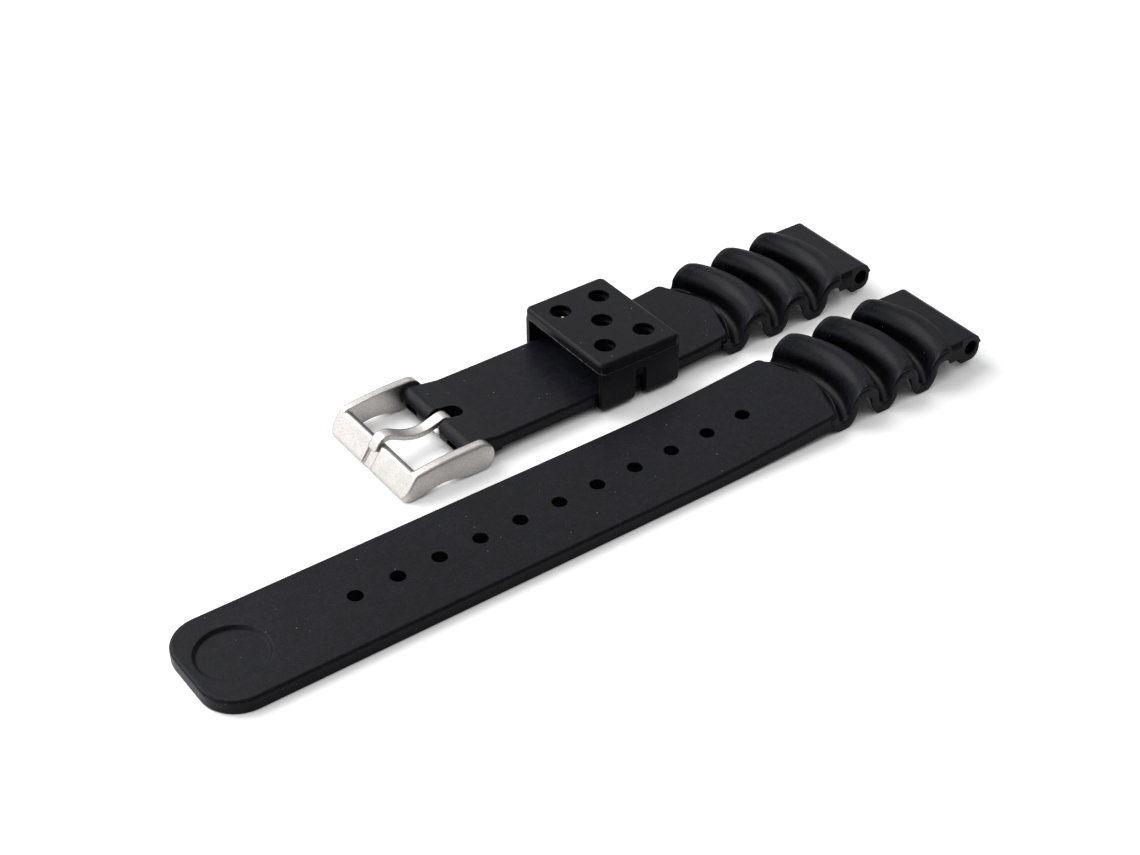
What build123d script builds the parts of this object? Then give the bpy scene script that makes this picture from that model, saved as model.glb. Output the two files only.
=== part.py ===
"""Rubber dive strap: two moulded halves, a keeper loop and a steel pin buckle on its spring bar.

Sizes are in millimetres. +X runs along the strap to the lug ends, +Y from the long half to the
short half, +Z up from the surface that both halves lie on.
"""
import os
from math import asin, cos, degrees, radians, sin

from build123d import *

os.makedirs("parts", exist_ok=True)

# Band, common to both halves.
band_edge_radius = 0.5
band_under_radius = 0.25
band_end_slope = 0.05
band_end_corner_x = 87.0
band_end_point = 3.9
band_end_apex_radius = 5.5
band_end_corner_radius = 1.2
lane_spacing = 28.1
steep_angle = 45.0

# Long half: adjustment holes counted from the tip, and the tip with its bare round recess.
long_half_width = 10.15
long_thickness = 2.5
long_end_under_z = 1.25
long_end_thickness = 2.95
long_rise_start_x = 58.0
hole_pitch = 7.5
hole_count = 11
hole_radius = 1.3
tip_x = -28.2
tip_corner_radius = 6.2
recess_x = -20.7
recess_radius = 5.9
recess_draft = 0.55
recess_depth = 0.5

# Waves: one sheet folded over three ridges that bow towards the lug.
wave_count = 3
wave_pitch = 9.1
wave_wall = 1.7
wave_height = 6.6
wave_overlap = 0.675
wave_bow = 3.5
wave_foot_half_width = 10.3
wave_side_draft = 0.8
wave_end_radius = 1.8
wave_foot_radius = 0.3
first_valley_x = band_end_corner_x + wave_pitch / 4 - wave_overlap
last_crest_x = first_valley_x + wave_pitch * (wave_count - 1) + wave_pitch / 2

# Lug end: plate and eye for the watch's spring bar.
lug_half_width = 9.0
lug_plate_drop = 0.4
lug_plate_sink = 0.05
lug_ledge_length = 4.4
lug_reach = 7.65
lug_bore_radius = 1.3
lug_bore_mouth = 0.2
lug_bore_top = 1.2
lug_eye_back = 2.6
lug_eye_front = 2.0
lug_eye_bottom = 1.1
lug_eye_radius = 1.9
lug_plate_top = wave_height - lug_plate_drop
lug_plate_under = wave_height / 2 - lug_plate_sink
lug_bore_x = last_crest_x + lug_reach
lug_bore_z = lug_plate_top - lug_bore_top - lug_bore_radius
lug_end_x = lug_bore_x + lug_eye_front
gate_pip_radius = 0.35
gate_pip_length = 0.6
gate_pip_rise = 0.5

# Short half: buckle end with two ears on the spring bar.
pivot_x = 33.6
pivot_z = 2.7
ear_radius = 2.0
ear_corner_radius = 1.6
ear_blend_length = 5.4
short_half_width = 9.9
short_thickness = 2.6
short_under_z = 1.2
short_end_under_z = 2.0
short_end_thickness = 2.85
short_rise_start_x = 77.0
side_step = 0.45
side_step_height = 1.0
slot_mouth_radius = 0.9
window_offset = 6.3
window_half_width = 1.7
window_half_height = 0.55
bar_bore_radius = 0.95
short_top_z = short_under_z + short_thickness

# Keeper loop, round the short half with room for the long half's tail on top of it.
keeper_x = 66.7
keeper_length = 16.8
keeper_side_gap = 0.3
keeper_under_gap = 0.35
keeper_tail_room = 4.3
keeper_wall = 1.15
keeper_roof = 2.1
keeper_corner_radius = 1.2
keeper_top_radius = 0.7
keeper_foot_radius = 1.5
keeper_lip = 0.25
keeper_slot_half_width = 1.2
keeper_slot_land = 1.2
keeper_inner_half_width = short_half_width + keeper_side_gap
keeper_half_width = keeper_inner_half_width + keeper_wall
keeper_floor = short_under_z - keeper_under_gap
keeper_ceiling = short_top_z + keeper_tail_room
keeper_height = keeper_ceiling + keeper_roof
keeper_slot_top = keeper_ceiling - keeper_slot_land
vent_radius = 1.9
vent_step = 0.45
vent_step_depth = 1.0
vent_length_share = 0.244
vent_width_share = 0.564

# Buckle frame: lengths are taken from the bar's axis back to the front bar's outer foot.
frame_length = 15.0
frame_side_gap = 0.3
frame_arm = 1.6
frame_end_radius = 2.7
frame_foot_rise = 0.7
frame_foot_depth = 0.6
frame_heel_depth = 1.8
frame_top_depth = 2.6
frame_top_z = 4.6
frame_inner_depth = 4.2
frame_inner_z = 3.5
frame_crown_share = 0.307
frame_crown_z = 5.35
frame_under_share = 0.473
frame_under_z = 1.0
frame_arm_rise = 0.15
frame_corner_radius = 1.6
frame_edge_radius = 0.3
frame_foot_radius = 0.45
frame_top_radius = 0.6
frame_inner_half_width = short_half_width + frame_side_gap
frame_front_x = pivot_x - frame_length
frame_foot = (frame_front_x, frame_foot_rise)
frame_toe_x = frame_front_x + frame_foot_depth
frame_heel_x = frame_front_x + frame_heel_depth
frame_top = (frame_front_x + frame_top_depth, frame_top_z)

# Tongue: one strip curled round the bar and laid in the groove of the front bar.
tongue_width = 2.2
tongue_thickness = 0.9
tongue_slot_gap = 0.55
tongue_slot_clearance = 2.15
tongue_groove_gap = 0.25
tongue_rest_gap = 0.06
tongue_groove_depth = 0.45
tongue_bend_down = 0.56
tongue_lap = 1.6
tongue_tip_radius = 0.5
curl_gap = 0.06
curl_start_angle = 215.0
curl_leave_angle = 106.0
tongue_course_shares = [
    (0.2, 0.717), (0.327, 0.674), (0.44, 0.739), (0.593, 0.957), (0.707, 1.13), (0.787, 1.113),
]

# Spring bar: barrel, two plungers and the coil between them.
barrel_play = 0.05
barrel_inset = 0.15
barrel_wall = 0.28
barrel_lip = 0.4
plunger_head_play = 0.06
plunger_tip_radius = 0.4
plunger_tip_play = 0.06
plunger_tip_reach = 1.0
plunger_head_length = 0.7
plunger_play = 0.05
socket_clearance = 0.15
coil_play = 0.11
coil_wire_radius = 0.11
coil_turns = 10
barrel_radius = bar_bore_radius - barrel_play
barrel_bore_radius = barrel_radius - barrel_wall
barrel_half_length = short_half_width - barrel_inset
curl_radius = barrel_radius + curl_gap + tongue_thickness / 2
tongue_slot_half_width = tongue_width / 2 + tongue_slot_gap
tongue_slot_end_x = pivot_x + curl_radius + tongue_thickness / 2 + tongue_slot_clearance

# How square to the strap's width a direction must be to count as lying along its length.
lengthwise_share = 0.3


def band(start_x, half_width, levels, rise_start_x):
    """A flat band in side view, curving up towards the waves.

    levels holds the under and top heights along the band, then the same two where it meets the waves.
    """
    under_z, top_z, under_end_z, top_end_z = levels
    end_x = band_end_corner_x + band_end_point
    with BuildSketch(Plane.XZ) as side:
        with BuildLine():
            Line((start_x, under_z), (rise_start_x, under_z))
            Spline((rise_start_x, under_z), (end_x, under_end_z), tangents=[(1, 0), (1, band_end_slope)])
            Line((end_x, under_end_z), (end_x, top_end_z))
            Spline((end_x, top_end_z), (rise_start_x, top_z), tangents=[(-1, -band_end_slope), (-1, 0)])
            Line((rise_start_x, top_z), (start_x, top_z))
            Line((start_x, top_z), (start_x, under_z))
        make_face()
    return extrude(side.sketch, amount=half_width, both=True)


def band_outline(start_x, start_radius, half_width):
    """Plan outline of a band: rounded start, blunt arrow towards the waves."""
    with BuildSketch() as plan:
        with BuildLine():
            Polyline(
                (start_x, -half_width), (band_end_corner_x, -half_width),
                (band_end_corner_x + band_end_point, 0),
                (band_end_corner_x, half_width), (start_x, half_width), close=True,
            )
        make_face()
        fillet(plan.vertices().sort_by(Axis.X)[-1], radius=band_end_apex_radius)
        shoulders = [v for v in plan.vertices() if abs(v.X - band_end_corner_x) < band_end_corner_radius]
        fillet(shoulders, radius=band_end_corner_radius)
        fillet(plan.vertices().sort_by(Axis.X)[:2], radius=start_radius)
    return plan.sketch


def rim(body, way):
    """Edges round the outside of all faces that look up (way 1) or down (way -1)."""
    edges = [e for f in body.faces() if f.normal_at().Z * way > sin(radians(steep_angle)) for e in f.edges()]
    return [e for e in edges if sum(e.is_same(other) for other in edges) == 1]


def bow_at(y):
    """How far the ridge arc stands forward of its own ends at a distance y from the centre line."""
    bow_radius = (wave_foot_half_width ** 2 + wave_bow ** 2) / (2 * wave_bow)
    return wave_bow - bow_radius + (bow_radius ** 2 - y ** 2) ** 0.5


def fold_edge(shift):
    """One side of the folded sheet in side view, shift out from its middle line; returns its two ends."""
    fold = wave_pitch / 4
    middle_z = wave_height / 2
    swing = middle_z - wave_wall / 2
    for ridge in range(wave_count):
        valley_x = first_valley_x + ridge * wave_pitch
        crest_x = valley_x + wave_pitch / 2
        valley = EllipticalCenterArc((valley_x, middle_z), fold - shift, swing - shift, 180, arc_size=180)
        stop = 0
        if shift > 0 and ridge == wave_count - 1:
            stop = degrees(asin((lug_plate_top - middle_z) / (swing + shift)))
        crest = EllipticalCenterArc((crest_x, middle_z), fold + shift, swing + shift, 180, arc_size=stop - 180)
        if ridge == 0:
            start = valley @ 0
    if shift > 0:
        end = (last_crest_x + lug_ledge_length, lug_plate_top)
        Line(crest @ 1, end)
    else:
        end = (last_crest_x + lug_ledge_length, lug_plate_under)
        Polyline(crest @ 1, (last_crest_x + fold + shift, lug_plate_under), end)
    return start, end


def wave_sheet():
    """The folded sheet, carried along the ridge arc and trimmed to its drafted, rounded sides."""
    with BuildSketch(Plane.XZ) as profile:
        with BuildLine():
            under_start, under_end = fold_edge(-wave_wall / 2)
            upper_start, upper_end = fold_edge(wave_wall / 2)
            Line(under_start, upper_start)
            Line(under_end, upper_end)
        make_face()
    far = wave_foot_half_width + wave_wall
    far_bow = bow_at(far)
    path = ThreePointArc((far_bow, far, 0), (wave_bow, 0, 0), (far_bow, -far, 0))
    section = Pos(far_bow, far, 0) * profile.sketch
    sheet = sweep(section, path=path, normal=(0, 1, 0))
    crest_half_width = wave_foot_half_width - wave_side_draft
    with BuildSketch(Plane.YZ) as sides:
        with BuildLine():
            Polyline(
                (-wave_foot_half_width, 0), (wave_foot_half_width, 0), (crest_half_width, wave_height),
                (-crest_half_width, wave_height), close=True,
            )
        make_face()
        fillet(sides.vertices().sort_by(Axis.Y)[-2:], radius=wave_end_radius)
        fillet(sides.vertices().sort_by(Axis.Y)[:2], radius=wave_foot_radius)
    return sheet & extrude(sides.sketch, amount=lug_end_x)


def lug():
    """Eye for the watch's spring bar, with its moulding pip."""
    eye_start_x = lug_bore_x - lug_eye_back
    with BuildSketch(Plane.XZ) as side:
        with Locations(((eye_start_x + lug_end_x) / 2, (lug_eye_bottom + lug_plate_top) / 2)):
            Rectangle(lug_end_x - eye_start_x, lug_plate_top - lug_eye_bottom)
        fillet(side.vertices().sort_by(Axis.X)[-2:], radius=lug_eye_radius)
        fillet(side.vertices().sort_by(Axis.X)[:2].sort_by(Axis.Y)[0], radius=lug_eye_radius / 2)
    pip = Pos(lug_end_x, gate_pip_radius - lug_half_width, lug_bore_z + gate_pip_rise) * Rot(0, 90, 0)
    body = extrude(side.sketch, amount=lug_half_width, both=True)
    return body + pip * Cylinder(gate_pip_radius, gate_pip_length)


def lug_bore():
    """The bore through the eye, with its two flared mouths."""
    across = Pos(lug_bore_x, 0, lug_bore_z) * Rot(-90, 0, 0)
    bore = Cylinder(lug_bore_radius, lug_half_width * 4)
    mouth = Cone(lug_bore_radius, lug_bore_radius + lug_bore_mouth * 2, lug_bore_mouth * 2)
    for way in (0, 180):
        bore = bore + Rot(way, 0, 0) * Pos(0, 0, lug_half_width) * mouth
    return across * bore


def long_half():
    """Long half: band with the adjustment holes, bare recess at its tip, waves and lug."""
    levels = (0, long_thickness, long_end_under_z, long_end_under_z + long_end_thickness)
    flat = band(tip_x, long_half_width, levels, long_rise_start_x)
    flat = flat & extrude(band_outline(tip_x, tip_corner_radius, long_half_width), amount=wave_height)
    flat = fillet(rim(flat, 1), radius=band_edge_radius)
    flat = fillet(rim(flat, -1), radius=band_under_radius)
    for number in range(hole_count):
        flat = flat - Pos(number * hole_pitch, 0, 0) * Cylinder(hole_radius, wave_height * 2)
    recess = Cone(recess_radius - recess_draft, recess_radius, recess_depth)
    flat = flat - Pos(recess_x, 0, long_thickness - recess_depth / 2) * recess
    return flat + wave_sheet() + lug() - lug_bore()


def short_half():
    """Short half: two ears for the buckle's bar, stepped sides, waves and lug."""
    start_x = pivot_x - ear_radius
    blend_x = pivot_x + ear_blend_length
    step = side_step_height
    step_z = short_under_z + step
    end_step_z = short_end_under_z + step
    end_top_z = short_end_under_z + short_end_thickness
    outline = band_outline(start_x, ear_corner_radius, short_half_width)
    upper = band(pivot_x, short_half_width, (step_z, short_top_z, end_step_z, end_top_z), short_rise_start_x)
    with BuildSketch(Plane.XZ) as end:
        with Locations((pivot_x, pivot_z)):
            Circle(ear_radius)
        with BuildLine():
            Polyline(
                (pivot_x, pivot_z - ear_radius), (blend_x, short_under_z), (blend_x, short_top_z),
                (pivot_x, pivot_z + ear_radius), close=True,
            )
        make_face()
    upper = upper + extrude(end.sketch, amount=short_half_width, both=True)
    upper = upper & extrude(outline, amount=wave_height)
    lower = band(
        blend_x - step, short_half_width - side_step,
        (short_under_z, short_top_z - step, short_end_under_z, end_top_z - step), short_rise_start_x,
    )
    lower = lower & extrude(outline, amount=wave_height)
    top_edges = [e for e in rim(upper, 1) if e.center().Z > (step_z + short_top_z) / 2]
    upper = fillet(top_edges, radius=band_edge_radius)
    return upper + lower + wave_sheet() + lug() - lug_bore() - bar_cuts()


def bar_cuts():
    """Slot for the tongue, bore for the bar, and the windows in the ears' ends."""
    slot_round_x = tongue_slot_end_x - tongue_slot_half_width
    mouth_x = pivot_x - ear_radius
    flare = slot_mouth_radius
    with BuildSketch() as slot:
        with BuildLine():
            Line((slot_round_x, tongue_slot_half_width), (mouth_x + flare, tongue_slot_half_width))
            RadiusArc(
                (mouth_x + flare, tongue_slot_half_width), (mouth_x, tongue_slot_half_width + flare), flare,
            )
            Polyline(
                (mouth_x, tongue_slot_half_width + flare), (mouth_x - flare, tongue_slot_half_width + flare),
                (mouth_x - flare, -tongue_slot_half_width - flare), (mouth_x, -tongue_slot_half_width - flare),
            )
            RadiusArc(
                (mouth_x, -tongue_slot_half_width - flare), (mouth_x + flare, -tongue_slot_half_width), flare,
            )
            Line((mouth_x + flare, -tongue_slot_half_width), (slot_round_x, -tongue_slot_half_width))
            ThreePointArc(
                (slot_round_x, -tongue_slot_half_width), (tongue_slot_end_x, 0),
                (slot_round_x, tongue_slot_half_width),
            )
        make_face()
    with BuildSketch(Plane.YZ.offset(mouth_x - ear_radius)) as windows:
        with Locations((-window_offset, pivot_z), (window_offset, pivot_z)):
            SlotOverall(window_half_width * 2, window_half_height * 2)
    bore = Pos(pivot_x, 0, pivot_z) * Rot(90, 0, 0) * Cylinder(bar_bore_radius, short_half_width * 3)
    return extrude(slot.sketch, amount=wave_height) + extrude(windows.sketch, amount=ear_radius * 2) + bore


def keeper_loop():
    """Free loop: a vented roof over two legs that run down and under the band."""
    leg_length = keeper_length - keeper_lip * 2
    leg_half_width = keeper_half_width - keeper_lip
    with BuildSketch(Plane.XZ) as side:
        with Locations((keeper_x, keeper_ceiling / 2)):
            Rectangle(leg_length, keeper_ceiling)
        with BuildLine():
            slot_round_z = keeper_slot_top - keeper_slot_half_width
            left_x = keeper_x - keeper_slot_half_width
            right_x = keeper_x + keeper_slot_half_width
            Polyline((left_x, slot_round_z), (left_x, 0), (right_x, 0), (right_x, slot_round_z))
            ThreePointArc((right_x, slot_round_z), (keeper_x, keeper_slot_top), (left_x, slot_round_z))
        make_face(mode=Mode.SUBTRACT)
        fillet([v for v in side.vertices() if v.Y < keeper_floor / 2], radius=keeper_foot_radius)
    with BuildSketch(Plane.YZ) as front:
        with Locations((0, keeper_ceiling / 2)):
            Rectangle(leg_half_width * 2, keeper_ceiling)
        fillet(front.vertices().sort_by(Axis.Y)[:2], radius=keeper_foot_radius)
    legs = extrude(side.sketch, amount=keeper_half_width, both=True)
    legs = legs & extrude(front.sketch, amount=keeper_x + keeper_length)
    roof = Box(keeper_length, keeper_half_width * 2, keeper_roof)
    roof = Pos(keeper_x, 0, keeper_ceiling + keeper_roof / 2) * roof
    roof = fillet(roof.edges().filter_by(Axis.Z), radius=keeper_corner_radius)
    roof = fillet(rim(roof, 1), radius=keeper_top_radius)
    roof = fillet(rim(roof, -1), radius=keeper_lip)
    tunnel = Box(keeper_length * 2, keeper_inner_half_width * 2, keeper_ceiling - keeper_floor)
    loop = legs + roof - Pos(keeper_x, 0, (keeper_ceiling + keeper_floor) / 2) * tunnel
    spread_x = keeper_length * vent_length_share
    spread_y = keeper_half_width * vent_width_share
    corners = [(-spread_x, -spread_y), (-spread_x, spread_y), (spread_x, -spread_y), (spread_x, spread_y)]
    for dx, dy in [(0, 0)] + corners:
        loop = loop - Pos(keeper_x + dx, dy, keeper_height) * Cylinder(vent_radius, vent_step_depth * 2)
        loop = loop - Pos(keeper_x + dx, dy, keeper_height) * Cylinder(vent_radius - vent_step, keeper_roof * 3)
    return loop


def buckle_frame():
    """Steel frame: two arched arms with round ends, and a broad sloping front bar."""
    outer = frame_inner_half_width + frame_arm
    crown = (pivot_x - frame_length * frame_crown_share, frame_crown_z)
    under = (pivot_x - frame_length * frame_under_share, frame_under_z)
    end_top = (pivot_x, pivot_z + frame_end_radius)
    end_foot = (pivot_x, pivot_z - frame_end_radius)
    front_limit_x = frame_toe_x + frame_edge_radius
    with BuildSketch(Plane.XZ) as arm:
        with BuildLine():
            Line(frame_foot, frame_top)
            Spline(frame_top, crown, end_top, tangents=[(1, frame_arm_rise), (1, 0)])
            ThreePointArc(end_top, (pivot_x + frame_end_radius, pivot_z), end_foot)
            Spline(end_foot, under, (frame_heel_x, 0), tangents=[(-1, 0), (-1, -frame_arm_rise)])
            Polyline((frame_heel_x, 0), (frame_toe_x, 0), frame_foot)
        make_face()
        fillet([v for v in arm.vertices() if v.X < front_limit_x], radius=frame_foot_radius)
        fillet(corner_near(arm, frame_top), radius=frame_top_radius)
    with BuildSketch() as plan:
        with Locations((frame_front_x + frame_length, 0)):
            Rectangle(frame_length * 2, outer * 2)
        fillet(plan.vertices().sort_by(Axis.X)[:2], radius=frame_corner_radius)
    frame = extrude(arm.sketch, amount=outer, both=True) & extrude(plan.sketch, amount=frame_crown_z * 2)
    sides = [e for e in frame.edges() if abs(e.center().Y) > outer - frame_edge_radius / 2]
    sides = [e for e in sides if abs(e.tangent_at(0.5).Y) < lengthwise_share]
    frame = fillet(sides, radius=frame_edge_radius)
    frame = frame - Pos(pivot_x, 0, 0) * Box(frame_length * 3, frame_inner_half_width * 2, frame_crown_z * 3)
    with BuildSketch(Plane.XZ) as bar:
        with BuildLine():
            Polyline(
                frame_foot, frame_top, (frame_front_x + frame_inner_depth, frame_inner_z), (frame_heel_x, 0),
                (frame_toe_x, 0), close=True,
            )
        make_face()
        fillet([v for v in bar.vertices() if v.X < front_limit_x], radius=frame_foot_radius)
        fillet(bar.vertices().sort_by(Axis.X)[-1], radius=frame_foot_radius)
        fillet(corner_near(bar, frame_top), radius=frame_top_radius)
    frame = frame + extrude(bar.sketch, amount=frame_inner_half_width + frame_edge_radius, both=True)
    groove = Box(frame_length, tongue_width + tongue_groove_gap * 2, tongue_groove_depth * 2)
    reach = frame_inner_half_width + plunger_tip_reach + socket_clearance
    socket = Cylinder(plunger_tip_radius + plunger_tip_play, reach * 2)
    return frame - front_face() * groove - Pos(pivot_x, 0, pivot_z) * Rot(90, 0, 0) * socket


def front_face():
    """Plane of the front bar's sloping face: origin at its top edge, x up the slope, z out of the steel."""
    slope = Vector(frame_top[0] - frame_foot[0], 0, frame_top[1] - frame_foot[1]).normalized()
    return Plane(origin=(frame_top[0], 0, frame_top[1]), x_dir=slope, z_dir=(-slope.Z, 0, slope.X))


def corner_near(sketch, point):
    """The vertex of a sketch that lies nearest to a point of its own plane."""
    return min(sketch.vertices(), key=lambda v: (v.X - point[0]) ** 2 + (v.Y - point[1]) ** 2)


def tongue_strip():
    """Tongue: a strip curled round the bar, dipped, then laid in the groove of the front bar."""
    angles = (curl_start_angle, (curl_start_angle + curl_leave_angle + 360) / 2, curl_leave_angle + 360)
    curl = [(pivot_x + curl_radius * cos(radians(a)), pivot_z + curl_radius * sin(radians(a))) for a in angles]
    leave = radians(curl_leave_angle)
    face = front_face()
    lie = tongue_thickness / 2 + tongue_rest_gap - tongue_groove_depth
    course = [(pivot_x - frame_length * along, frame_top_z * up) for along, up in tongue_course_shares]
    for down in (tongue_bend_down, tongue_lap):
        spot = face.from_local_coords(Vector(-down, 0, lie))
        course.append((spot.X, spot.Z))
    with BuildSketch(Plane.XZ) as side:
        with BuildLine():
            ThreePointArc(*curl)
            Spline(curl[-1], *course, tangents=[(-sin(leave), cos(leave)), (-face.x_dir.X, -face.x_dir.Z)])
        trace(line_width=tongue_thickness)
    strip = extrude(side.sketch, amount=tongue_width / 2, both=True)
    end = min(strip.faces(), key=lambda f: (f.center() - spot).length)
    corners = [e for e in end.edges() if abs(e.tangent_at(0.5).Y) < lengthwise_share]
    return fillet(corners, radius=tongue_tip_radius)


def spring_bar():
    """Barrel with rolled-in mouths, its two plungers, and the coil between them."""
    turned = Pos(pivot_x, 0, pivot_z) * Rot(-90, 0, 0)
    barrel = Cylinder(barrel_radius, barrel_half_length * 2)
    barrel = barrel - Cylinder(barrel_bore_radius, (barrel_half_length - barrel_lip) * 2)
    barrel = barrel - Cylinder(plunger_tip_radius + plunger_play, barrel_half_length * 3)
    head_end = barrel_half_length - barrel_lip - plunger_play
    tip_end = frame_inner_half_width + plunger_tip_reach
    head = Cylinder(barrel_bore_radius - plunger_head_play, plunger_head_length)
    pin_length = tip_end - head_end + plunger_head_length / 2
    pin = Pos(0, 0, tip_end - pin_length / 2) * Cylinder(plunger_tip_radius, pin_length)
    plunger = Pos(0, 0, head_end - plunger_head_length / 2) * head + pin
    coil_length = (head_end - plunger_head_length - coil_wire_radius - plunger_play) * 2
    coil_radius = barrel_bore_radius - coil_play - coil_wire_radius
    helix = Helix(pitch=coil_length / coil_turns, height=coil_length, radius=coil_radius)
    wire = Plane(origin=helix @ 0, z_dir=helix % 0) * Circle(coil_wire_radius)
    coil = Pos(0, 0, -coil_length / 2) * sweep(wire, path=helix, is_frenet=True)
    return turned * barrel, turned * Rot(180, 0, 0) * plunger, turned * plunger, turned * coil


def main():
    """Build every piece in place and write one STEP file for each."""
    barrel, near_plunger, far_plunger, coil = spring_bar()
    lane = Pos(0, lane_spacing, 0)
    pieces = {
        "long_strap": long_half(),
        "short_strap": lane * short_half(),
        "keeper": lane * keeper_loop(),
        "buckle_frame": lane * buckle_frame(),
        "tongue": lane * tongue_strip(),
        "bar_barrel": lane * barrel,
        "bar_plunger_near": lane * near_plunger,
        "bar_plunger_far": lane * far_plunger,
        "bar_coil": lane * coil,
    }
    boxes = [piece.bounding_box() for piece in pieces.values()]
    middle_x = (min(b.min.X for b in boxes) + max(b.max.X for b in boxes)) / 2
    middle_y = (min(b.min.Y for b in boxes) + max(b.max.Y for b in boxes)) / 2
    seat = Pos(-middle_x, -middle_y, -min(b.min.Z for b in boxes))
    for name, piece in pieces.items():
        export_step(seat * piece, f"parts/{name}.step")


main()
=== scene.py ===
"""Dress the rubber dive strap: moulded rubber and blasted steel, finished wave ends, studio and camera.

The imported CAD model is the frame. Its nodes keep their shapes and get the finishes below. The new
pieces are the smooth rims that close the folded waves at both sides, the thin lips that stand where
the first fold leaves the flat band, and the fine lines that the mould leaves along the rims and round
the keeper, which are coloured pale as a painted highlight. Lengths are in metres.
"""

import logging
from collections.abc import Callable
from dataclasses import dataclass, field
from enum import Enum
from math import cos, pi, radians, sin, sqrt
from typing import Any

import bpy
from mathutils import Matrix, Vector


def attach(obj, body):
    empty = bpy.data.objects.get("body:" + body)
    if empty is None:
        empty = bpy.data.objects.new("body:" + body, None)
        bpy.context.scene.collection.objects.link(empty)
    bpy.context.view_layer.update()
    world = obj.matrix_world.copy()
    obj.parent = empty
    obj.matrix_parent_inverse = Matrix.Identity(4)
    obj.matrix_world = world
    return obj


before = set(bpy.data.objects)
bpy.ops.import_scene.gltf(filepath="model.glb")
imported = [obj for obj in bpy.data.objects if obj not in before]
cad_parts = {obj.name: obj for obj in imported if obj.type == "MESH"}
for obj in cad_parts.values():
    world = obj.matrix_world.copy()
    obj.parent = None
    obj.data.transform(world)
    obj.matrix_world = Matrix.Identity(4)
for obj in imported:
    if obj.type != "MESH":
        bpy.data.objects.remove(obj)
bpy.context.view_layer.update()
log = logging.getLogger("strap")

Colour = tuple[float, float, float]
Point = tuple[float, float, float]
Pair = tuple[float, float]
Range = tuple[float, float]
Socket = bpy.types.NodeSocket

ORIGIN: Point = (0.0, 0.0, 0.0)
WHOLE: Range = (0.0, 1.0)
# Nearly all values of a noise texture lie in this range.
NOISE_SPAN: Range = (0.3, 0.7)
# How far a rounded normal leans from its face's own: where an edge starts to show, and where it shows fully.
EDGE_SPAN: Range = (0.004, 0.16)
EDGE_SAMPLES = 6
SHADE_SAMPLES = 8
# The numbers of the Mix node's colour sockets, and of the Vector Math node's scale.
MIX_FIRST_COLOUR = 6
MIX_SECOND_COLOUR = 7
MIX_COLOUR = 2
SCALE_FACTOR = 3
ROUNDING_SEGMENTS = 3
MERGE_DISTANCE = 0.000001
SMOOTH_ANGLE = radians(35.0)


class Side(Enum):
    """The two sides of a half, as seen along the strap; the value is the sign of Y."""

    NEAR = -1
    FAR = 1


@dataclass(frozen=True)
class Lumps:
    """One layer of noise: the size of its lumps, and the number and strength of its finer octaves."""

    size: float
    detail: float = 3.0
    roughness: float = 0.5


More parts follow.
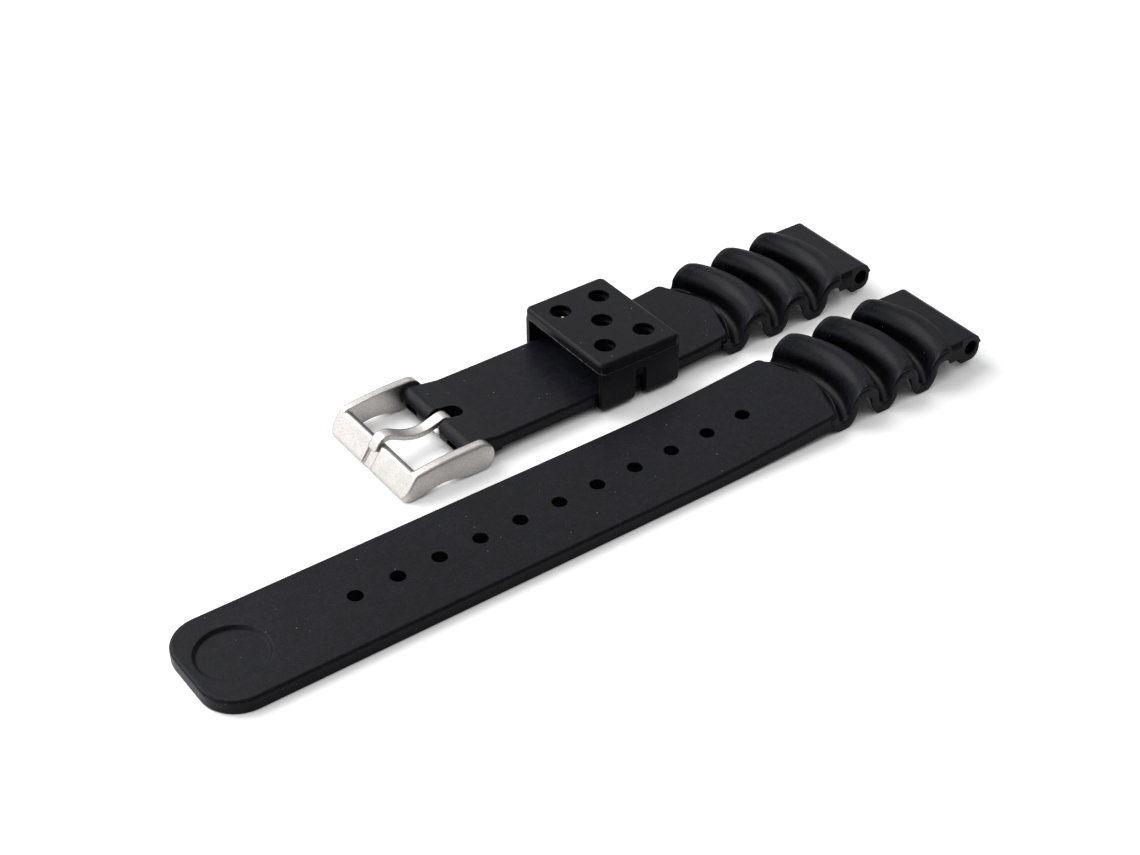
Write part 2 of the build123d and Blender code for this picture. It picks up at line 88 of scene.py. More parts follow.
class Nodes:
    """Adds and links the shader nodes of one material or world."""

    def __init__(self, tree: bpy.types.NodeTree) -> None:
        """Empty the tree and keep it.

        Args:
            tree: node tree to fill.
        """
        self.tree = tree
        tree.nodes.clear()

    def add(self, kind: str, inputs: dict[str | int, Any] | None = None, **settings: Any) -> bpy.types.Node:
        """Add one node; a socket among the inputs is linked, any other value is set.

        Args:
            kind: Blender's type name of the node, without the ShaderNode prefix.
            inputs: values or output sockets, by the input's name or number.
            settings: properties of the node.

        Returns:
            The new node.
        """
        node = self.tree.nodes.new("ShaderNode" + kind)
        for name, value in settings.items():
            setattr(node, name, value)
        for key, value in (inputs or {}).items():
            if isinstance(value, Socket):
                self.tree.links.new(value, node.inputs[key])
            else:
                node.inputs[key].default_value = value
        return node

    def math(self, operation: str, first: Any, second: Any) -> Socket:
        """Add a Math node.

        Args:
            operation: Blender's name of the operation.
            first: first value or socket.
            second: second value or socket.

        Returns:
            The result's socket.
        """
        return self.add("Math", {0: first, 1: second}, operation=operation).outputs[0]

    def spread(self, value: Socket, span: Range, low: Any, high: Any) -> Socket:
        """Map a value smoothly from a span to the range between two others.

        Args:
            value: socket to map.
            span: values that give the low and the high result.
            low: result at the span's start.
            high: result at the span's end.

        Returns:
            The result's socket.
        """
        inputs = {"Value": value, "From Min": span[0], "From Max": span[1], "To Min": low, "To Max": high}
        return self.add("MapRange", inputs, interpolation_type="SMOOTHSTEP").outputs["Result"]

    def vary(self, noise: Socket, levels: Range) -> Socket:
        """Turn noise into a value that swings between two levels."""
        return self.spread(noise, NOISE_SPAN, *levels)

    def blend(self, amount: Any, first: Any, second: Any) -> Socket:
        """Mix two colours.

        Args:
            amount: share of the second colour.
            first: first colour or socket.
            second: second colour or socket.

        Returns:
            The mixed colour's socket.
        """
        inputs = {0: amount, MIX_FIRST_COLOUR: first, MIX_SECOND_COLOUR: second}
        return self.add("Mix", inputs, data_type="RGBA").outputs[MIX_COLOUR]

    def toned(self, colour: Colour, tone: Socket) -> Socket:
        """Give a colour times a tone."""
        return self.add("VectorMath", {0: colour, SCALE_FACTOR: tone}, operation="SCALE").outputs[0]

    def noise(self, place: Socket, lumps: Lumps) -> Socket:
        """Add a layer of noise.

        Args:
            place: coordinates socket.
            lumps: size and octaves of the noise.

        Returns:
            The noise value's socket.
        """
        scale = 1.0 / lumps.size
        inputs = {"Vector": place, "Scale": scale, "Detail": lumps.detail, "Roughness": lumps.roughness}
        return self.add("TexNoise", inputs).outputs["Fac"]

    def stretched(self, place: Socket, scale: Point) -> Socket:
        """Stretch the coordinates, so that a pattern runs long where the scale is small."""
        return self.add("Mapping", {"Vector": place, "Scale": scale}).outputs[0]

    def edge(self, radius: float) -> tuple[Socket, Socket]:
        """Find the sharp edges of the surface.

        Args:
            radius: how far from an edge its wear reaches.

        Returns:
            The rounded normal, and a mask that is 0 on flat faces and rises towards the edges.
        """
        rounded = self.add("Bevel", {"Radius": radius}, samples=EDGE_SAMPLES).outputs[0]
        flat = self.add("NewGeometry").outputs["Normal"]
        square = self.add("VectorMath", {0: rounded, 1: flat}, operation="DOT_PRODUCT").outputs["Value"]
        return rounded, self.spread(self.math("SUBTRACT", 1.0, square), EDGE_SPAN, *WHOLE)

    def open_share(self, reach: float, alone: bool) -> Socket:
        """Give the share of a point's surroundings that is open within a reach.

        Args:
            reach: distance at which something still shades the point.
            alone: count only the point's own mesh.

        Returns:
            The share's socket, 1 in the open.
        """
        inputs = {"Distance": reach}
        return self.add("AmbientOcclusion", inputs, samples=SHADE_SAMPLES, only_local=alone).outputs["AO"]

    def bump(self, strength: float, depth: float, height: Socket, normal: Socket) -> Socket:
        """Add a Bump node.

        Args:
            strength: share of the bump that is used.
            depth: depth of a height of 1.
            height: height socket.
            normal: normal that the bump starts from.

        Returns:
            The bumped normal's socket.
        """
        inputs = {"Strength": strength, "Distance": depth, "Height": height, "Normal": normal}
        return self.add("Bump", inputs).outputs[0]

    def surface(self, inputs: dict[str, Any]) -> None:
        """Add the Principled shader with these inputs as the material's surface."""
        shader = self.add("BsdfPrincipled", inputs)
        self.add("OutputMaterial", {"Surface": shader.outputs[0]})


def rgb(colour: Colour, factor: float = 1.0) -> tuple[float, float, float, float]:
    """Give a linear colour times a factor, with full alpha, as shader sockets take it."""
    return (colour[0] * factor, colour[1] * factor, colour[2] * factor, 1.0)


def new_material(name: str) -> tuple[bpy.types.Material, Nodes, Socket]:
    """Start a node material.

    Args:
        name: name of the material.

    Returns:
        The material, its nodes, and the socket of the object coordinates.
    """
    material = bpy.data.materials.new(name)
    material.use_nodes = True
    nodes = Nodes(material.node_tree)
    return material, nodes, nodes.add("TexCoord").outputs["Object"]


@dataclass(frozen=True)
class MouldedRubber:
    """Matte moulded rubber: blasted grain, cloudy tone, paler edges, specks of dust, and painted shade in the
    folds.
    """

    name: str
    slot: str
    colour: Colour = (0.0055, 0.0057, 0.0090)
    roughness: float = 0.37
    specular: float = 0.085
    sheen: float = 0.01
    sheen_roughness: float = 0.4
    cloud: Lumps = Lumps(0.013, detail=4.0, roughness=0.6)
    cloud_tone: Range = (0.85, 1.15)
    cloud_rough: Range = (-0.04, 0.04)
    grain: Lumps = Lumps(0.00032, roughness=0.65)
    grain_tone: Range = (0.45, 1.6)
    grain_rough: Range = (-0.05, 0.05)
    mottle: Lumps = Lumps(0.0016, roughness=0.7)
    mottle_tone: Range = (0.80, 1.22)
    pore: float = 0.0009
    pore_share: float = 0.6
    bump_depth: float = 0.000016
    bump_strength: float = 0.9
    edge_colour: Colour = (0.017, 0.0168, 0.0212)
    edge_radius: float = 0.00022
    edge_wear: Lumps = Lumps(0.004)
    edge_wear_share: Range = (0.35, 0.9)
    dust_colour: Colour = (0.19, 0.18, 0.175)
    dust_spacing: float = 0.0019
    dust_share: Range = (0.012, 0.055)
    # Painted shade: the tone darkens to a tenth where the rubber's own folds close in round a point.
    fold_shade_reach: float = 0.006
    fold_shade_span: Range = (0.35, 0.92)
    fold_shade_tone: float = 0.10

    def make(self) -> bpy.types.Material:
        """Build the material.

        Returns:
            The new material.
        """
        material, nodes, place = new_material(self.name)
        rounded, edge = nodes.edge(self.edge_radius)
        cloud = nodes.noise(place, self.cloud)
        grain = nodes.noise(place, self.grain)
        body = nodes.toned(self.colour, self.tone(nodes, place, cloud, grain))
        wear = nodes.vary(nodes.noise(place, self.edge_wear), self.edge_wear_share)
        body = nodes.blend(nodes.math("MULTIPLY", edge, wear), body, rgb(self.edge_colour))
        body = nodes.blend(self.dust(nodes, place), body, rgb(self.dust_colour))
        rough = nodes.math("ADD", nodes.vary(grain, self.grain_rough), nodes.vary(cloud, self.cloud_rough))
        pores = nodes.add("TexVoronoi", {"Vector": place, "Scale": 1.0 / self.pore}, feature="SMOOTH_F1")
        height = nodes.math("ADD", grain, nodes.math("MULTIPLY", pores.outputs["Distance"], self.pore_share))
        nodes.surface({
            "Base Color": body,
            "Roughness": nodes.math("ADD", rough, self.roughness),
            "Specular IOR Level": self.specular,
            "Sheen Weight": self.sheen,
            "Sheen Roughness": self.sheen_roughness,
            "Normal": nodes.bump(self.bump_strength, self.bump_depth, height, rounded),
        })
        return material

    def tone(self, nodes: Nodes, place: Socket, cloud: Socket, grain: Socket) -> Socket:
        """Give the rubber's tone: cloudy, grainy and mottled, and darkened down in the folds by painted
        shade.

        Args:
            nodes: nodes to add to.
            place: coordinates socket.
            cloud: noise of the clouds.
            grain: noise of the grain.

        Returns:
            The tone's socket.
        """
        mottle = nodes.noise(place, self.mottle)
        tone = nodes.math("MULTIPLY", nodes.vary(cloud, self.cloud_tone), nodes.vary(grain, self.grain_tone))
        tone = nodes.math("MULTIPLY", tone, nodes.vary(mottle, self.mottle_tone))
        # Painted shade: an occlusion share from the rubber's own mesh darkens the tone down in the folds.
        open_share = nodes.open_share(self.fold_shade_reach, alone=True)
        return nodes.math("MULTIPLY", tone, nodes.spread(open_share, self.fold_shade_span, self.fold_shade_tone, 1.0))

    def dust(self, nodes: Nodes, place: Socket) -> Socket:
        """Give a mask of small specks of many sizes.

        Args:
            nodes: nodes to add to.
            place: coordinates socket.

        Returns:
            The mask's socket, 1 on a speck.
        """
        specks = nodes.add("TexVoronoi", {"Vector": place, "Scale": 1.0 / self.dust_spacing})
        chance = nodes.add("SeparateColor", {0: specks.outputs["Color"]}).outputs[0]
        size = nodes.spread(chance, WHOLE, *self.dust_share)
        return nodes.math("LESS_THAN", specks.outputs["Distance"], size)


@dataclass(frozen=True)
class BlastedSteel:
    """Bead-blasted stainless steel: an even fine grain, slightly warm, brighter where edges rub."""

    name: str
    slot: str
    colour: Colour = (0.41, 0.392, 0.374)
    roughness: float = 0.34
    cloud: Lumps = Lumps(0.006, detail=4.0, roughness=0.6)
    cloud_tone: Range = (0.92, 1.08)
    grain: Lumps = Lumps(0.00028, detail=2.0, roughness=0.7)
    grain_tone: Range = (0.85, 1.15)
    grain_rough: Range = (-0.04, 0.04)
    bump_depth: float = 0.000006
    bump_strength: float = 0.8
    rub: Lumps = Lumps(0.0005, roughness=0.7)
    rub_stretch: Point = (0.12, 1.0, 1.0)
    rub_span: Range = (0.56, 0.72)
    rub_rough: float = -0.05
    edge_colour: Colour = (0.50, 0.485, 0.465)
    edge_radius: float = 0.00045
    edge_share: float = 0.7
    edge_roughness: float = 0.2

    def make(self) -> bpy.types.Material:
        """Build the material.

        Returns:
            The new material.
        """
        material, nodes, place = new_material(self.name)
        rounded, edge = nodes.edge(self.edge_radius)
        cloud = nodes.noise(place, self.cloud)
        grain = nodes.noise(place, self.grain)
        tone = nodes.math("MULTIPLY", nodes.vary(cloud, self.cloud_tone), nodes.vary(grain, self.grain_tone))
        body = nodes.toned(self.colour, tone)
        body = nodes.blend(nodes.math("MULTIPLY", edge, self.edge_share), body, rgb(self.edge_colour))
        rubs = nodes.noise(nodes.stretched(place, self.rub_stretch), self.rub)
        rubs = nodes.math("MULTIPLY", nodes.spread(rubs, self.rub_span, *WHOLE), self.rub_rough)
        rough = nodes.math("ADD", nodes.vary(grain, self.grain_rough), rubs)
        rough = nodes.math("ADD", rough, nodes.spread(edge, WHOLE, self.roughness, self.edge_roughness))
        nodes.surface({
            "Base Color": body,
            "Metallic": 1.0,
            "Roughness": rough,
            "Normal": nodes.bump(self.bump_strength, self.bump_depth, grain, rounded),
        })
        return material


@dataclass(frozen=True)
class TurnedSteel:
    """Plain turned steel of the spring bar: fine rings round its axis, which lies along Y."""

    name: str
    slot: str
    colour: Colour = (0.42, 0.41, 0.40)
    roughness: float = 0.27
    ring: Lumps = Lumps(0.00012, roughness=0.7)
    ring_stretch: Point = (0.02, 1.0, 0.02)
    ring_tone: Range = (0.85, 1.12)
    ring_rough: Range = (-0.05, 0.08)
    bump_depth: float = 0.000003
    bump_strength: float = 0.7
    stain: Lumps = Lumps(0.0012, detail=4.0, roughness=0.6)
    stain_span: Range = (0.35, 0.7)
    stain_tone: float = 0.8
    edge_radius: float = 0.0001
    edge_share: float = 0.5
    edge_gain: float = 1.6

    def make(self) -> bpy.types.Material:
        """Build the material.

        Returns:
            The new material.
        """
        material, nodes, place = new_material(self.name)
        rounded, edge = nodes.edge(self.edge_radius)
        rings = nodes.noise(nodes.stretched(place, self.ring_stretch), self.ring)
        stain = nodes.spread(nodes.noise(place, self.stain), self.stain_span, 1.0, self.stain_tone)
        body = nodes.toned(self.colour, nodes.math("MULTIPLY", nodes.vary(rings, self.ring_tone), stain))
        bright = rgb(self.colour, self.edge_gain)
        body = nodes.blend(nodes.math("MULTIPLY", edge, self.edge_share), body, bright)
        nodes.surface({
            "Base Color": body,
            "Metallic": 1.0,
            "Roughness": nodes.math("ADD", nodes.vary(rings, self.ring_rough), self.roughness),
            "Normal": nodes.bump(self.bump_strength, self.bump_depth, rings, rounded),
        })
        return material


Finish = MouldedRubber | BlastedSteel | TurnedSteel

STRAP_RUBBER = MouldedRubber("matte_strap_rubber", "strap_rubber")
KEEPER_RUBBER = MouldedRubber(
    "matte_keeper_rubber",
    "keeper_rubber",
    colour=(0.0046, 0.0048, 0.0076),
    cloud=Lumps(0.009, detail=4.0, roughness=0.6),
)
# Painted highlight: the mould lines are real beads, but this pale colour stands in for the light that their
# thin edges catch.
FLASH_PAINTED_HIGHLIGHT = MouldedRubber(
    "thin_flash_rubber",
    "strap_rubber",
    colour=(0.045, 0.045, 0.050),
    cloud=Lumps(0.003, detail=4.0, roughness=0.6),
)
# Painted highlight: the keeper's flash is a real bead, but this pale colour stands in for the light that its
# edge catches.
KEEPER_FLASH_PAINTED_HIGHLIGHT = MouldedRubber(
    "keeper_flash_rubber",
    "keeper_rubber",
    colour=(0.085, 0.085, 0.090),
    cloud=Lumps(0.003, detail=4.0, roughness=0.6),
)
BUCKLE_STEEL = BlastedSteel("blasted_buckle_steel", "buckle_steel")
BAR_STEEL = TurnedSteel("turned_bar_steel", "bar_steel")


def dress(target: bpy.types.Object, finish: Finish) -> None:
    """Give an object a finish, which is built the first time that it is used.

    Args:
        target: CAD node or new piece.
        finish: finish to give.
    """
    material = bpy.data.materials.get(finish.name) or finish.make()
    target.data.materials.clear()
    target.data.materials.append(material)
    log.info("%s dressed in %s", target.name, finish.name)


def clear_selection() -> None:
    """Leave object mode with nothing selected."""
    if bpy.context.object and bpy.context.object.mode != "OBJECT":
        bpy.ops.object.mode_set(mode="OBJECT")
    bpy.ops.object.select_all(action="DESELECT")


def shaped_sheet(
    name: str, columns: int, rows: int, place: Callable[[float, float], Point],
) -> bpy.types.Object:
    """Add a flat grid and shape it point by point.

    Args:
        name: name of the new piece.
        columns: faces along the sheet.
        rows: faces across the sheet.
        place: gives a point's place from its shares of the way along and across the sheet.

    Returns:
        The shaped sheet, with no thickness yet.
    """
    clear_selection()
    bpy.ops.mesh.primitive_grid_add(x_subdivisions=columns, y_subdivisions=rows, size=1.0, location=ORIGIN)
    sheet = bpy.context.active_object
    sheet.name = name
    sheet.data.name = name
    # The grid's own points lie between -0.5 and 0.5 both ways.
    for point in sheet.data.vertices:
        point.co = place(point.co.x + 0.5, point.co.y + 0.5)
    sheet.data.update()
    return sheet


def thicken(piece: bpy.types.Object, thickness: float) -> None:
    """Give a sheet its wall, half to each side.

    Args:
        piece: sheet to thicken.
        thickness: the wall.
    """
    solid = piece.modifiers.new("wall", "SOLIDIFY")
    solid.thickness = thickness
    solid.offset = 0.0
    bpy.ops.object.modifier_apply(modifier="wall")


def edge_length(piece: bpy.types.Object, edge: bpy.types.MeshEdge) -> float:
    """Give the length of one of a piece's edges."""
    start, end = (piece.data.vertices[index].co for index in edge.vertices)
    return (end - start).length


def select_edges(piece: bpy.types.Object, edges: set[int]) -> None:
    """Select some of a piece's edges and nothing else, for edit mode.

    Args:
        piece: piece in object mode.
        edges: indices of the edges to select.
    """
    for kind in (piece.data.vertices, piece.data.polygons):
        kind.foreach_set("select", [False] * len(kind))
    piece.data.edges.foreach_set("select", [edge.index in edges for edge in piece.data.edges])
    bpy.context.tool_settings.mesh_select_mode = (False, True, False)


def soften(piece: bpy.types.Object, edges: set[int], width: float) -> None:
    """Round some of a piece's edges, close its seams and smooth its shading.

    Args:
        piece: piece to finish.
        edges: indices of the edges to round.
        width: radius of the rounding.
    """
    select_edges(piece, edges)
    bpy.ops.object.mode_set(mode="EDIT")
    if edges:
        bpy.ops.mesh.bevel(offset=width, segments=ROUNDING_SEGMENTS, affect="EDGES")
    bpy.ops.mesh.select_all(action="SELECT")
    bpy.ops.mesh.remove_doubles(threshold=MERGE_DISTANCE)
    bpy.ops.mesh.normals_make_consistent(inside=False)
    bpy.ops.object.mode_set(mode="OBJECT")
    bpy.ops.object.shade_smooth_by_angle(angle=SMOOTH_ANGLE)


@dataclass(frozen=True)
class Half:
    """One half of the strap: its body, its lane across the table, and its flat end's top."""

    name: str
    body: str
    lane: float
    flat_top: float


@dataclass
class WaveEnds:
    """What finishes the folded waves: rims that close their sides, mould lines painted pale as a highlight,
    and lips by the flat band.
    """

    # The halves, and the CAD model's folded sheet that the pieces follow; seat is where the long half's
    # own zero lies, and pitch is the length of one valley and one crest.
    halves: tuple[Half, ...] = (
        Half("long", "long_half", lane=0.0, flat_top=0.0042),
        Half("short", "short_half", lane=0.0281, flat_top=0.00485),
    )
    seat: Pair = (-0.04655, -0.0148193)
    first_valley: float = 0.0886
    pitch: float = 0.0091
    folds: int = 3
    height: float = 0.0066
    wall: float = 0.0017
    bow: float = 0.0035
    foot_half_width: float = 0.0103
    half_width: float = 0.01025
    # How the crests fall towards the sides: by up to end_drop over the last drop_reach, in a curve that
    # drop_curve keeps from ending upright. The fall sets in at half height, and drop_gain is how fast it
    # grows from there up.
    end_drop: float = 0.0006
    drop_reach: float = 0.0013
    drop_curve: float = 0.98
    drop_gain: float = 1.4
    # The rims; rim_end is the turn that they run on past the top of the last crest, and proud is how far
    # they stand out of the CAD model's faces.
    rim_columns: int = 168
    rim_rows: int = 10
    rim_depth: float = 0.0024
    rim_end: float = 0.55
    rim_edge: float = 0.0003
    proud: float = 0.00001
    # The mould lines, pale as a painted highlight; flash_start is the turn at which they start, and their
    # run is shorter than the rims' run by flash_short.
    flash_radius: float = 0.00006
    flash_sides: int = 8
    flash_start: float = 0.3
    flash_short: float = 0.35
    flash_waver: float = 0.35
    flash_beats: Pair = (5.3, 1.9)
    flash_inset_share: float = 0.9
    flash_tip_share: float = 0.001
    # The lips; lip_rise_share and lip_level_share are shares of the way out along them.
    lip_columns: int = 36
    lip_rows: int = 3
    lip_wall: float = 0.0005
    lip_edge: float = 0.00018
    lip_drop: float = 0.0003
    lip_inner: float = 0.0028
    lip_outer: float = 0.0100
    lip_rise_share: float = 0.25
    lip_level_share: float = 0.35

    @property
    def last_turn(self) -> float:
        """Give the turn at which the rims end, just past the top of the last crest."""
        return (2 * self.folds - 0.5) * pi + self.rim_end

    def bow_at(self, across: float) -> float:
        """Give how far the ridge arc stands forward at a distance from the centre line."""
        radius = (self.foot_half_width ** 2 + self.bow ** 2) / (2.0 * self.bow)
        return self.bow - radius + sqrt(radius ** 2 - across ** 2)

    def fold_at(self, turn: float, shift: float = 0.0) -> Pair:
        """Follow a line of the folded sheet in side view.

        Args:
            turn: angle run along the folds, pi for each valley and each crest.
            shift: distance out from the sheet's middle line.

        Returns:
            The point's X and Z.
        """
        part = int(turn // pi)
        angle = turn - part * pi
        middle = self.first_valley + part * self.pitch / 2.0
        way = -1.0 if part % 2 == 0 else 1.0
        swing = (self.height - self.wall) / 2.0 + way * shift
        reach = self.pitch / 4.0 + way * shift
        return middle - reach * cos(angle), self.height / 2.0 + way * swing * sin(angle)

    def drop_at(self, across: float) -> float:
        """Give how far a crest falls at a distance from the centre line."""
        share = min(max((across - self.half_width + self.drop_reach) / self.drop_reach, 0.0), 1.0)
        return self.end_drop * (1.0 - sqrt(1.0 - self.drop_curve * share ** 2))

    def settle(self, piece: bpy.types.Object, half: Half, side: Side) -> None:
        """Bow a straight piece as the ridges bow, lower its crest ends, and put it in its lane.

        Args:
            piece: piece built along +Y from the centre line.
            half: half of the strap that carries it.
            side: side of the half.
        """
        middle = self.height / 2.0
        for point in piece.data.vertices:
            x, across, z = point.co
            lift = min(max((z - middle) / middle * self.drop_gain, 0.0), 1.0)
            point.co = (
                x + self.bow_at(across) + self.seat[0],
                self.seat[1] + half.lane + side.value * across,
                max(z - self.drop_at(across) * lift, 0.0),
            )

    def rim(self, half: Half, side: Side) -> bpy.types.Object:
        """Make the smooth rim that closes the folds at one side.

        Args:
            half: half of the strap that carries it.
            side: side of the half.

        Returns:
            The new piece.
        """
        def place(along: float, over: float) -> Point:
            """Place one point of the rim's middle sheet.

            Args:
                along: share of the way along the folds.
                over: share of the way in from the side.

            Returns:
                The point.
            """
            x, z = self.fold_at(along * self.last_turn)
            return x, self.half_width - over * self.rim_depth, z

        name = f"{half.name}_wave_rim_{side.name.lower()}"
        piece = shaped_sheet(name, self.rim_columns, self.rim_rows, place)
        thicken(piece, self.wall + 2.0 * self.proud)
        outer = {point.index for point in piece.data.vertices if point.co.y > self.half_width - self.proud}
        contour = {
            edge.index for edge in piece.data.edges
            if outer.issuperset(edge.vertices) and edge_length(piece, edge) < self.wall / 2.0
        }
        self.settle(piece, half, side)
        soften(piece, contour, self.rim_edge)
        return piece

    def flash(self, half: Half, side: Side) -> bpy.types.Object:
        """Make the fine moulding line that follows the rim's upper edge, a bead that carries a painted
        highlight.

        Args:
            half: half of the strap that carries it.
            side: side of the half.

        Returns:
            The new piece.
        """
        def place(along: float, over: float) -> Point:
            """Place one point of the line's skin.

            Args:
                along: share of the way along the line.
                over: share of the way round it.

            Returns:
                The point.
            """
            turn = self.flash_start + along * (self.last_turn - self.flash_short)
            waver = sin(turn * self.flash_beats[0]) * sin(turn * self.flash_beats[1])
            thick = self.flash_radius * (1.0 + self.flash_waver * waver)
            if min(along, 1.0 - along) < self.flash_tip_share:
                thick = 0.0
            x, z = self.fold_at(turn, self.wall / 2.0 + thick * cos(over * 2.0 * pi))
            inset = self.rim_edge * self.flash_inset_share
            return x, self.half_width - inset + thick * sin(over * 2.0 * pi), z

        name = f"{half.name}_rim_flash_{side.name.lower()}"
        piece = shaped_sheet(name, self.rim_columns, self.flash_sides, place)
        self.settle(piece, half, side)
        soften(piece, set(), 0.0)
        return piece

    def lip(self, half: Half, side: Side) -> bpy.types.Object:
        """Make the thin lip that stands in the first valley at one side, beside the flat band's end.

        Args:
            half: half of the strap that carries it.
            side: side of the half.

        Returns:
            The new piece.
        """
        wall_x = self.first_valley - self.pitch / 4.0 + self.wall / 2.0 - self.lip_wall / 2.0
        foot = self.height / 2.0 - self.lip_wall
        low_top = foot + self.lip_wall
        top = half.flat_top - self.lip_drop
        length = self.lip_outer - self.lip_inner

        def place(along: float, over: float) -> Point:
            """Place one point of the lip's middle sheet.

            Args:
                along: share of the way out along the lip.
                over: share of the way up.

            Returns:
                The point.
            """
            rise = sin(min(along / self.lip_rise_share, 1.0) * pi / 2.0)
            fall = cos(max(along - self.lip_level_share, 0.0) / (1.0 - self.lip_level_share) * pi / 2.0)
            z = low_top + (top - low_top) * rise * fall
            return wall_x, self.lip_inner + along * length, foot + over * (z - foot)

        name = f"{half.name}_fold_lip_{side.name.lower()}"
        piece = shaped_sheet(name, self.lip_columns, self.lip_rows, place)
        thicken(piece, self.lip_wall)
        crown = {
            point.index for point in piece.data.vertices
            if point.co.z > place((point.co.y - self.lip_inner) / length, 1.0)[2] - self.proud
        }
        rounded = {edge.index for edge in piece.data.edges if crown.issuperset(edge.vertices)}
        self.settle(piece, half, side)
        soften(piece, rounded, self.lip_edge)
        return piece

    def build(self) -> None:
        """Make the pieces of both halves and fix them to their halves."""
        for half in self.halves:
            for side in Side:
                pieces = {
                    self.rim(half, side): STRAP_RUBBER,
                    self.lip(half, side): STRAP_RUBBER,
                    # The mould lines get the pale finish, a painted highlight along the rims.
                    self.flash(half, side): FLASH_PAINTED_HIGHLIGHT,
                }
                for piece, finish in pieces.items():
                    dress(piece, finish)
                    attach(piece, half.body)
                    log.info("%s made for %s", piece.name, half.body)


@dataclass
class KeeperSeam:
    """The fine flash that the mould leaves round the keeper's roof, just above its lower edge, coloured pale
    as a painted highlight.
    """

    centre: Pair = (0.02015, 0.0132807)
    half_length: float = 0.0084
    half_width: float = 0.01135
    height: float = 0.00838
    corner: float = 0.0012
    corner_segments: int = 8
    side_cuts: int = 30
    radius: float = 0.00007
    ring_steps: int = 2
    waver: float = 0.4
    beats: Pair = (1.7, 0.61)

    def build(self) -> None:
        """Make the flash and fix it to the keeper."""
        outline = self.outline()
        self.divide_sides(outline)
        bpy.ops.object.convert(target="CURVE")
        line = bpy.context.active_object
        line.data.bevel_depth = self.radius
        line.data.bevel_resolution = self.ring_steps
        for spline in line.data.splines:
            for index, point in enumerate(spline.points):
                point.radius = 1.0 + self.waver * sin(index * self.beats[0]) * sin(index * self.beats[1])
        bpy.ops.object.convert(target="MESH")
        seam = bpy.context.active_object
        seam.data.name = seam.name
        # The pale finish paints a highlight along the keeper's roof edge.
        dress(seam, KEEPER_FLASH_PAINTED_HIGHLIGHT)
        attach(seam, "keeper_loop")
        log.info("%s made for keeper_loop", seam.name)

    def outline(self) -> bpy.types.Object:
        """Draw the roof's outline as a loop of loose edges.

        Returns:
            The outline, with rounded corners.
        """
        clear_selection()
        bpy.ops.mesh.primitive_plane_add(size=2.0, location=ORIGIN)
        outline = bpy.context.active_object
        outline.name = "keeper_roof_flash"
        for point in outline.data.vertices:
            point.co.x = self.centre[0] + point.co.x * self.half_length
            point.co.y = self.centre[1] + point.co.y * self.half_width
            point.co.z = self.height
        bpy.ops.object.mode_set(mode="EDIT")
        bpy.ops.mesh.select_all(action="SELECT")
        bpy.ops.mesh.bevel(offset=self.corner, segments=self.corner_segments, affect="VERTICES")
        bpy.ops.mesh.select_all(action="SELECT")
        bpy.ops.mesh.delete(type="ONLY_FACE")
        bpy.ops.object.mode_set(mode="OBJECT")
        return outline

    def divide_sides(self, outline: bpy.types.Object) -> None:
        """Divide the outline's long straight sides, so that the flash can vary along them.

        Args:
            outline: outline of loose edges.
        """
        sides = {edge.index for edge in outline.data.edges if edge_length(outline, edge) > self.corner * 2.0}
        select_edges(outline, sides)
        bpy.ops.object.mode_set(mode="EDIT")
        bpy.ops.mesh.subdivide(number_cuts=self.side_cuts)
        bpy.ops.object.mode_set(mode="OBJECT")


@dataclass
class Strap:
    """The strap's rubber pieces."""

    pieces: dict[str, MouldedRubber] = field(default_factory=lambda: {
        "long_strap": STRAP_RUBBER, "short_strap": STRAP_RUBBER, "keeper": KEEPER_RUBBER,
    })

    def build(self) -> None:
        """Dress the rubber pieces."""
        for node, finish in self.pieces.items():
            dress(bpy.data.objects[node], finish)


@dataclass
class Buckle:
    """The steel buckle: frame, tongue, and the spring bar that they swing on."""

    plates: tuple[str, ...] = ("buckle_frame", "tongue")
    bar: tuple[str, ...] = ("bar_barrel", "bar_plunger_near", "bar_plunger_far", "bar_coil")

    def build(self) -> None:
        """Dress the steel pieces."""
        for node in self.plates:
            dress(bpy.data.objects[node], BUCKLE_STEEL)
        for node in self.bar:
            dress(bpy.data.objects[node], BAR_STEEL)


@dataclass(frozen=True)
class SoftBox:
    """One soft lamp: a square panel that faces the object."""

    name: str
    place: Point
    size: float
    power: float

    def build(self) -> None:
        """Add the lamp."""
        turn = (-Vector(self.place)).to_track_quat("-Z", "Y").to_euler()
        bpy.ops.object.light_add(type="AREA", location=self.place, rotation=turn)
        lamp = bpy.context.active_object
        lamp.name = self.name
        lamp.data.name = self.name
        lamp.data.size = self.size
        lamp.data.energy = self.power
        log.info("%s lit", self.name)


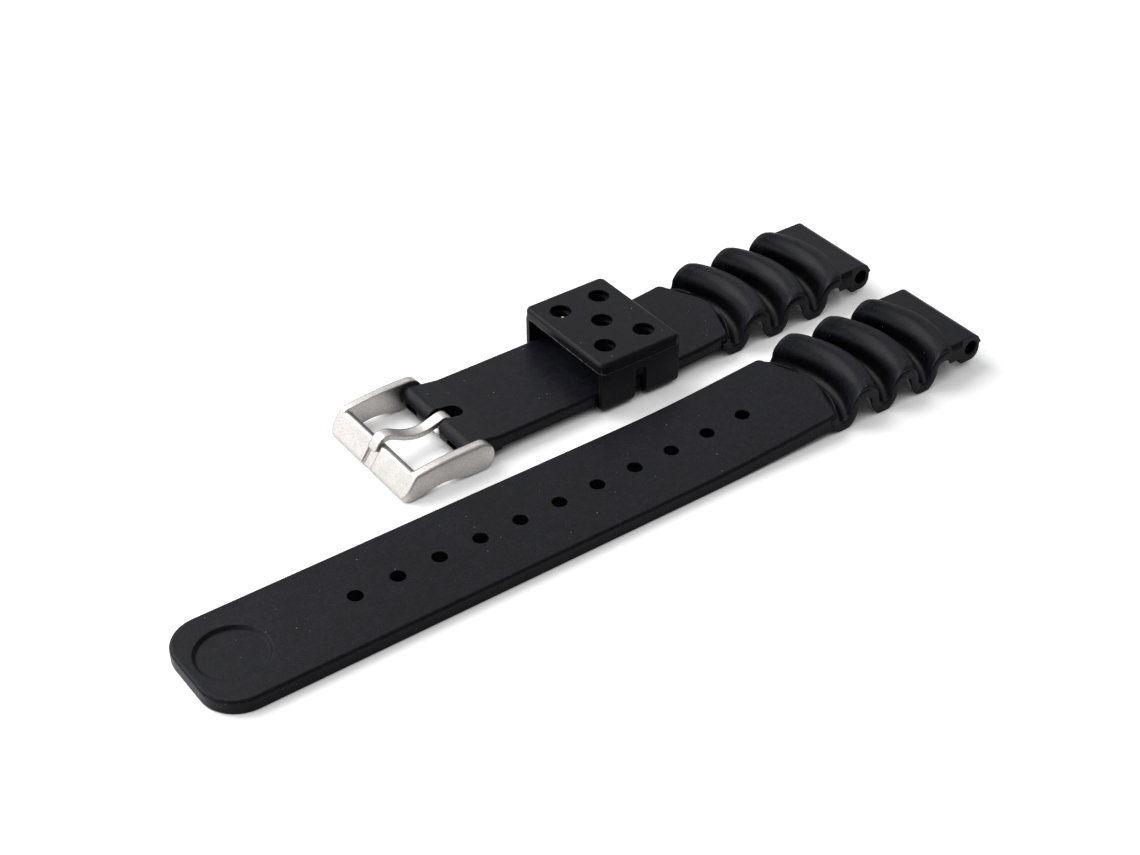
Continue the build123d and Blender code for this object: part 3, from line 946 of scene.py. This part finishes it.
@dataclass
class Studio:
    """Camera at the photograph's viewpoint, pale floor, soft lamps and a white surround."""

    # The camera, fitted to the photograph; camera_turn is in degrees.
    camera_place: Point = (-0.15155, -0.215754, 0.203018)
    camera_turn: Point = (52.9745, 0.2468, -35.9282)
    focal_pixels: float = 2008.6
    frame_pixels: float = 1140.0
    sensor: float = 36.0
    sight: Range = (0.01, 20.0)
    lamps: tuple[SoftBox, ...] = (
        SoftBox("overhead", (-0.05, 0.10, 0.75), size=0.5, power=0.5),
        SoftBox("high_back", (-0.195, 0.483, 0.54), size=0.6, power=6.0),
        SoftBox("back_right", (0.352, 0.485, 0.451), size=0.5, power=0.65),
        SoftBox("left_back", (-0.593, 0.416, 0.194), size=0.5, power=1.5),
        SoftBox("left", (-0.65, 0.0, 0.375), size=0.5, power=1.9),
    )
    # The floor; its glow rises from floor_lift to 1 over lift_span, and the shade under the object dims it.
    floor_size: float = 6.0
    floor_gap: float = 0.00002
    floor_colour: Colour = (0.90, 0.903, 0.91)
    floor_mottle: Lumps = Lumps(0.03)
    floor_gain: float = 1.01
    floor_roughness: float = 0.9
    floor_specular: float = 0.1
    floor_lift: float = 0.40
    lift_span: Range = (0.06, 0.42)
    shade_reach: float = 0.0055
    shade_span: Range = (0.15, 0.65)
    # The world's strength as a light, in reflections, and as the camera sees it.
    sky_colour: Colour = (0.985, 0.99, 1.0)
    sky_light: float = 0.04
    sky_mirrored: float = 0.53
    sky_seen: float = 1.02

    def build(self) -> None:
        """Add the camera, the lamps, the floor and the world."""
        self.build_camera()
        for lamp in self.lamps:
            lamp.build()
        self.build_floor()
        self.build_world()

    def build_camera(self) -> None:
        """Add the camera and make it the scene's own."""
        turn = tuple(radians(angle) for angle in self.camera_turn)
        bpy.ops.object.camera_add(location=self.camera_place, rotation=turn)
        camera = bpy.context.active_object
        camera.name = "camera"
        camera.data.sensor_fit = "HORIZONTAL"
        camera.data.sensor_width = self.sensor
        camera.data.lens = self.focal_pixels * self.sensor / self.frame_pixels
        camera.data.clip_start, camera.data.clip_end = self.sight
        bpy.context.scene.camera = camera

    def build_floor(self) -> None:
        """Add the floor: a pale matt sheet, white in the open and dimmer close under the object."""
        bpy.ops.mesh.primitive_plane_add(size=self.floor_size, location=(0.0, 0.0, -self.floor_gap))
        floor = bpy.context.active_object
        floor.name = "floor"
        material, nodes, place = new_material("pale_floor")
        mottle = nodes.vary(nodes.noise(place, self.floor_mottle), WHOLE)
        paper = nodes.blend(mottle, rgb(self.floor_colour), rgb(self.floor_colour, self.floor_gain))
        matt = nodes.add("BsdfPrincipled", {
            "Base Color": paper, "Roughness": self.floor_roughness, "Specular IOR Level": self.floor_specular,
        })
        away = nodes.add("VectorMath", {0: place}, operation="LENGTH").outputs["Value"]
        lift = nodes.spread(away, self.lift_span, self.floor_lift, 1.0)
        shade = nodes.spread(nodes.open_share(self.shade_reach, alone=False), self.shade_span, *WHOLE)
        glow = nodes.add("Emission", {"Strength": nodes.math("MULTIPLY", lift, shade)})
        both = nodes.add("AddShader", {0: matt.outputs[0], 1: glow.outputs[0]})
        path = nodes.add("LightPath").outputs
        seen = nodes.math("MAXIMUM", path["Is Camera Ray"], path["Is Glossy Ray"])
        seen = nodes.math("MAXIMUM", seen, path["Is Transmission Ray"])
        mix = nodes.add("MixShader", {0: seen, 1: matt.outputs[0], 2: both.outputs[0]})
        nodes.add("OutputMaterial", {"Surface": mix.outputs[0]})
        floor.data.materials.append(material)

    def build_world(self) -> None:
        """Set a world that is white to the camera, pale in reflections and dim as a light."""
        world = bpy.data.worlds.new("surround")
        world.use_nodes = True
        nodes = Nodes(world.node_tree)
        path = nodes.add("LightPath").outputs
        mirrored = nodes.math("MAXIMUM", path["Is Glossy Ray"], path["Is Transmission Ray"])
        strength = nodes.spread(mirrored, WHOLE, self.sky_light, self.sky_mirrored)
        seen = nodes.math("MULTIPLY", path["Is Camera Ray"], self.sky_seen)
        strength = nodes.math("MAXIMUM", strength, seen)
        sky = nodes.add("Background", {"Color": rgb(self.sky_colour), "Strength": strength})
        nodes.add("OutputWorld", {"Surface": sky.outputs[0]})
        bpy.context.scene.world = world
        bpy.context.scene.view_settings.view_transform = "Standard"


def main() -> None:
    """Dress the strap and set up the studio, in order."""
    logging.basicConfig(level=logging.INFO)
    Studio().build()
    Strap().build()
    WaveEnds().build()
    KeeperSeam().build()
    Buckle().build()


if __name__ == "__main__":
    main()
